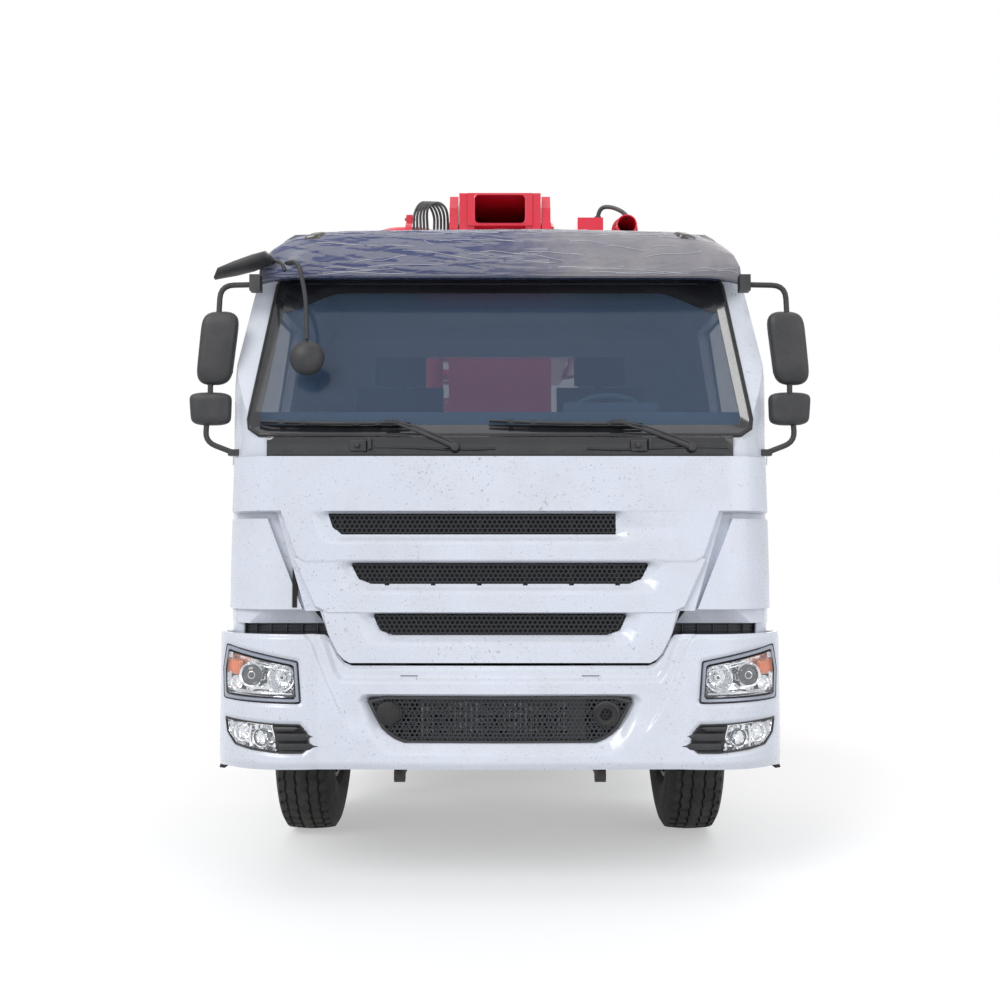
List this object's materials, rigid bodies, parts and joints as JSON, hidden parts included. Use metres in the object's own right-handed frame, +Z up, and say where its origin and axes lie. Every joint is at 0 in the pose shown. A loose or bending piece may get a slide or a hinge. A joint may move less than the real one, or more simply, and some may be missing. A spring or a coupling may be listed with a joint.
{
  "type": "truck-mounted concrete pump",
  "caption": "Cab-over truck with a folding concrete placing boom on a slewing turret, outriggers, rear hopper and delivery line.",
  "frame": {"origin": "on the ground under the middle of the overall length and width", "axes": "-Y towards the front bumper, +X towards the truck's left side, +Z up"},
  "size_m": [2.804, 10.9, 3.998],
  "materials": {
    "white_paint": "gloss",
    "red_paint": "gloss",
    "grey_paint": "satin",
    "black_steel": "satin",
    "cast_metal": "matte",
    "bright_steel": "polished",
    "plate": "satin",
    "black_plastic": "matte",
    "visor_plastic": "gloss",
    "blue_plastic": "matte",
    "seat_cloth": "matte",
    "lamp_lens": "clear",
    "tinted_glass": "clear",
    "tyre_rubber": "matte"
  },
  "bodies": {
    "chassis": {"chassis_frame": "grey_paint", "pedestal": "red_paint", "deck": "grey_paint", "boom_rest": "red_paint", "front_bumper": "white_paint", "bumper_grille": "black_plastic", "lamps": "lamp_lens", "front_axle": "cast_metal", "rear_axles": "cast_metal", "engine_block": "cast_metal", "fuel_tank": "plate", "side_boxes": "black_steel", "mudguards": "black_plastic", "deck_tanks": "white_paint", "pump_unit": "grey_paint", "hopper": "grey_paint", "rear_bar": "black_steel"},
    "cab": {"cab_shell": "white_paint", "cab_glass": "tinted_glass", "sun_visor": "visor_plastic", "dashboard": "blue_plastic", "seats": "seat_cloth", "mirrors": "black_plastic", "wipers": "black_plastic"},
    "door_left": {"door_left": "white_paint"},
    "door_right": {"door_right": "white_paint"},
    "front_flap": {"front_flap": "white_paint"},
    "knuckle_left": {"knuckle_left": "cast_metal"},
    "knuckle_right": {"knuckle_right": "cast_metal"},
    "turret": {"turret": "red_paint"},
    "boom_1": {"boom_1": "red_paint"},
    "boom_2": {"boom_2": "red_paint"},
    "boom_3": {"boom_3": "red_paint"},
    "boom_4": {"boom_4": "red_paint"},
    "cylinder_1_barrel": {"cylinder_1_barrel": "red_paint"},
    "cylinder_1_rod": {"cylinder_1_rod": "bright_steel"},
    "cylinder_2_rod": {"cylinder_2_rod": "bright_steel"},
    "cylinder_3_rod": {"cylinder_3_rod": "bright_steel"},
    "hopper_grate": {"hopper_grate": "red_paint"},
    "wheel_front_left": {"tyre_front_left": "tyre_rubber", "rim_front_left": "grey_paint"},
    "wheel_front_right": {"tyre_front_right": "tyre_rubber", "rim_front_right": "grey_paint"},
    "wheel_middle_left": {"tyre_middle_left": "tyre_rubber", "rim_middle_left": "grey_paint"},
    "wheel_middle_right": {"tyre_middle_right": "tyre_rubber", "rim_middle_right": "grey_paint"},
    "wheel_rear_left": {"tyre_rear_left": "tyre_rubber", "rim_rear_left": "grey_paint"},
    "wheel_rear_right": {"tyre_rear_right": "tyre_rubber", "rim_rear_right": "grey_paint"},
    "outrigger_front_left": {"outrigger_front_left": "red_paint"},
    "leg_front_left": {"leg_front_left": "plate"},
    "outrigger_front_right": {"outrigger_front_right": "red_paint"},
    "leg_front_right": {"leg_front_right": "plate"},
    "outrigger_rear_left": {"outrigger_rear_left": "red_paint"},
    "leg_rear_left": {"leg_rear_left": "plate"},
    "outrigger_rear_right": {"outrigger_rear_right": "red_paint"},
    "leg_rear_right": {"leg_rear_right": "plate"}
  },
  "joints": [
    {"name": "steer_left", "type": "hinge", "parent": "chassis", "child": "knuckle_left", "pos_m": [0.79, -3.95, 0.54], "axis": [0, 0, 1], "range_deg": [-35, 35]},
    {"name": "steer_right", "type": "hinge", "parent": "chassis", "child": "knuckle_right", "pos_m": [-0.79, -3.95, 0.54], "axis": [0, 0, 1], "range_deg": [-35, 35]},
    {"name": "spin_front_left", "type": "hinge", "parent": "knuckle_left", "child": "wheel_front_left", "pos_m": [1.01, -3.95, 0.54], "axis": [1, 0, 0], "continuous": true},
    {"name": "spin_front_right", "type": "hinge", "parent": "knuckle_right", "child": "wheel_front_right", "pos_m": [-1.01, -3.95, 0.54], "axis": [1, 0, 0], "continuous": true},
    {"name": "spin_middle_left", "type": "hinge", "parent": "chassis", "child": "wheel_middle_left", "pos_m": [0.93, 0.65, 0.54], "axis": [1, 0, 0], "continuous": true},
    {"name": "spin_middle_right", "type": "hinge", "parent": "chassis", "child": "wheel_middle_right", "pos_m": [-0.93, 0.65, 0.54], "axis": [1, 0, 0], "continuous": true},
    {"name": "spin_rear_left", "type": "hinge", "parent": "chassis", "child": "wheel_rear_left", "pos_m": [0.93, 2, 0.54], "axis": [1, 0, 0], "continuous": true},
    {"name": "spin_rear_right", "type": "hinge", "parent": "chassis", "child": "wheel_rear_right", "pos_m": [-0.93, 2, 0.54], "axis": [1, 0, 0], "continuous": true},
    {"name": "cab_tilt", "type": "hinge", "parent": "chassis", "child": "cab", "pos_m": [0, -5.31, 1.15], "axis": [1, 0, 0], "range_deg": [0, 50]},
    {"name": "door_left_hinge", "type": "hinge", "parent": "cab", "child": "door_left", "pos_m": [1.218, -5.1, 2], "axis": [0, 0, -1], "range_deg": [0, 70]},
    {"name": "door_right_hinge", "type": "hinge", "parent": "cab", "child": "door_right", "pos_m": [-1.218, -5.1, 2], "axis": [0, 0, 1], "range_deg": [0, 70]},
    {"name": "flap_hinge", "type": "hinge", "parent": "cab", "child": "front_flap", "pos_m": [0, -5.366, 1.899], "axis": [-1, 0, 0], "range_deg": [0, 75]},
    {"name": "boom_slew", "type": "hinge", "parent": "chassis", "child": "turret", "pos_m": [0, -2.15, 1.4], "axis": [0, 0, 1], "range_deg": [-180, 180]},
    {"name": "boom_1_raise", "type": "hinge", "parent": "turret", "child": "boom_1", "pos_m": [0, -2.3, 3.19], "axis": [1, 0, 0], "range_deg": [0, 80]},
    {"name": "boom_2_unfold", "type": "hinge", "parent": "boom_1", "child": "boom_2", "pos_m": [0, 4.85, 3.43], "axis": [-1, 0, 0], "range_deg": [0, 180]},
    {"name": "boom_3_unfold", "type": "hinge", "parent": "boom_2", "child": "boom_3", "pos_m": [0, -2.28, 3.745], "axis": [1, 0, 0], "range_deg": [0, 180]},
    {"name": "boom_4_unfold", "type": "hinge", "parent": "boom_3", "child": "boom_4", "pos_m": [0, 4.4, 3.835], "axis": [-1, 0, 0], "range_deg": [0, 180]},
    {"name": "cylinder_1_pivot", "type": "hinge", "parent": "turret", "child": "cylinder_1_barrel", "pos_m": [0, -1.8, 1.6], "axis": [1, 0, 0], "range_deg": [0, 14.72]},
    {"name": "cylinder_1_stroke", "type": "slide", "parent": "cylinder_1_barrel", "child": "cylinder_1_rod", "axis": [0, 0.2265, 0.974], "range_m": [0, 1.0028]},
    {"name": "cylinder_2_stroke", "type": "slide", "parent": "boom_1", "child": "cylinder_2_rod", "axis": [0, 1, 0], "range_m": [0, 0.6]},
    {"name": "cylinder_3_stroke", "type": "slide", "parent": "boom_2", "child": "cylinder_3_rod", "axis": [0, -1, 0], "range_m": [0, 0.6]},
    {"name": "outrigger_front_left_swing", "type": "hinge", "parent": "chassis", "child": "outrigger_front_left", "pos_m": [0.8, -2.69, 1.2], "axis": [0, 0, -1], "range_deg": [0, 110]},
    {"name": "leg_front_left_slide", "type": "slide", "parent": "outrigger_front_left", "child": "leg_front_left", "axis": [0, 0, -1], "range_m": [0, 0.48]},
    {"name": "outrigger_front_right_swing", "type": "hinge", "parent": "chassis", "child": "outrigger_front_right", "pos_m": [-0.8, -2.69, 1.2], "axis": [0, 0, 1], "range_deg": [0, 110]},
    {"name": "leg_front_right_slide", "type": "slide", "parent": "outrigger_front_right", "child": "leg_front_right", "axis": [0, 0, -1], "range_m": [0, 0.48]},
    {"name": "outrigger_rear_left_swing", "type": "hinge", "parent": "chassis", "child": "outrigger_rear_left", "pos_m": [0.83, 4.61, 1.2], "axis": [0, 0, 1], "range_deg": [0, 110]},
    {"name": "leg_rear_left_slide", "type": "slide", "parent": "outrigger_rear_left", "child": "leg_rear_left", "axis": [0, 0, -1], "range_m": [0, 0.48]},
    {"name": "outrigger_rear_right_swing", "type": "hinge", "parent": "chassis", "child": "outrigger_rear_right", "pos_m": [-0.83, 4.61, 1.2], "axis": [0, 0, -1], "range_deg": [0, 110]},
    {"name": "leg_rear_right_slide", "type": "slide", "parent": "outrigger_rear_right", "child": "leg_rear_right", "axis": [0, 0, -1], "range_m": [0, 0.48]},
    {"name": "grate_hinge", "type": "hinge", "parent": "chassis", "child": "hopper_grate", "pos_m": [0, 4.24, 1.62], "axis": [1, 0, 0], "range_deg": [0, 80]}
  ],
  "couplings": [
    {"joint": "steer_right", "follows": "steer_left", "ratio": 1},
    {"joint": "cylinder_1_pivot", "follows": "boom_1_raise", "ratio": 0.18386},
    {"joint": "cylinder_1_stroke", "follows": "boom_1_raise", "m_per_rad": 0.71781},
    {"joint": "cylinder_2_stroke", "follows": "boom_2_unfold", "m_per_rad": 0.19098},
    {"joint": "cylinder_3_stroke", "follows": "boom_3_unfold", "m_per_rad": 0.19098}
  ]
}
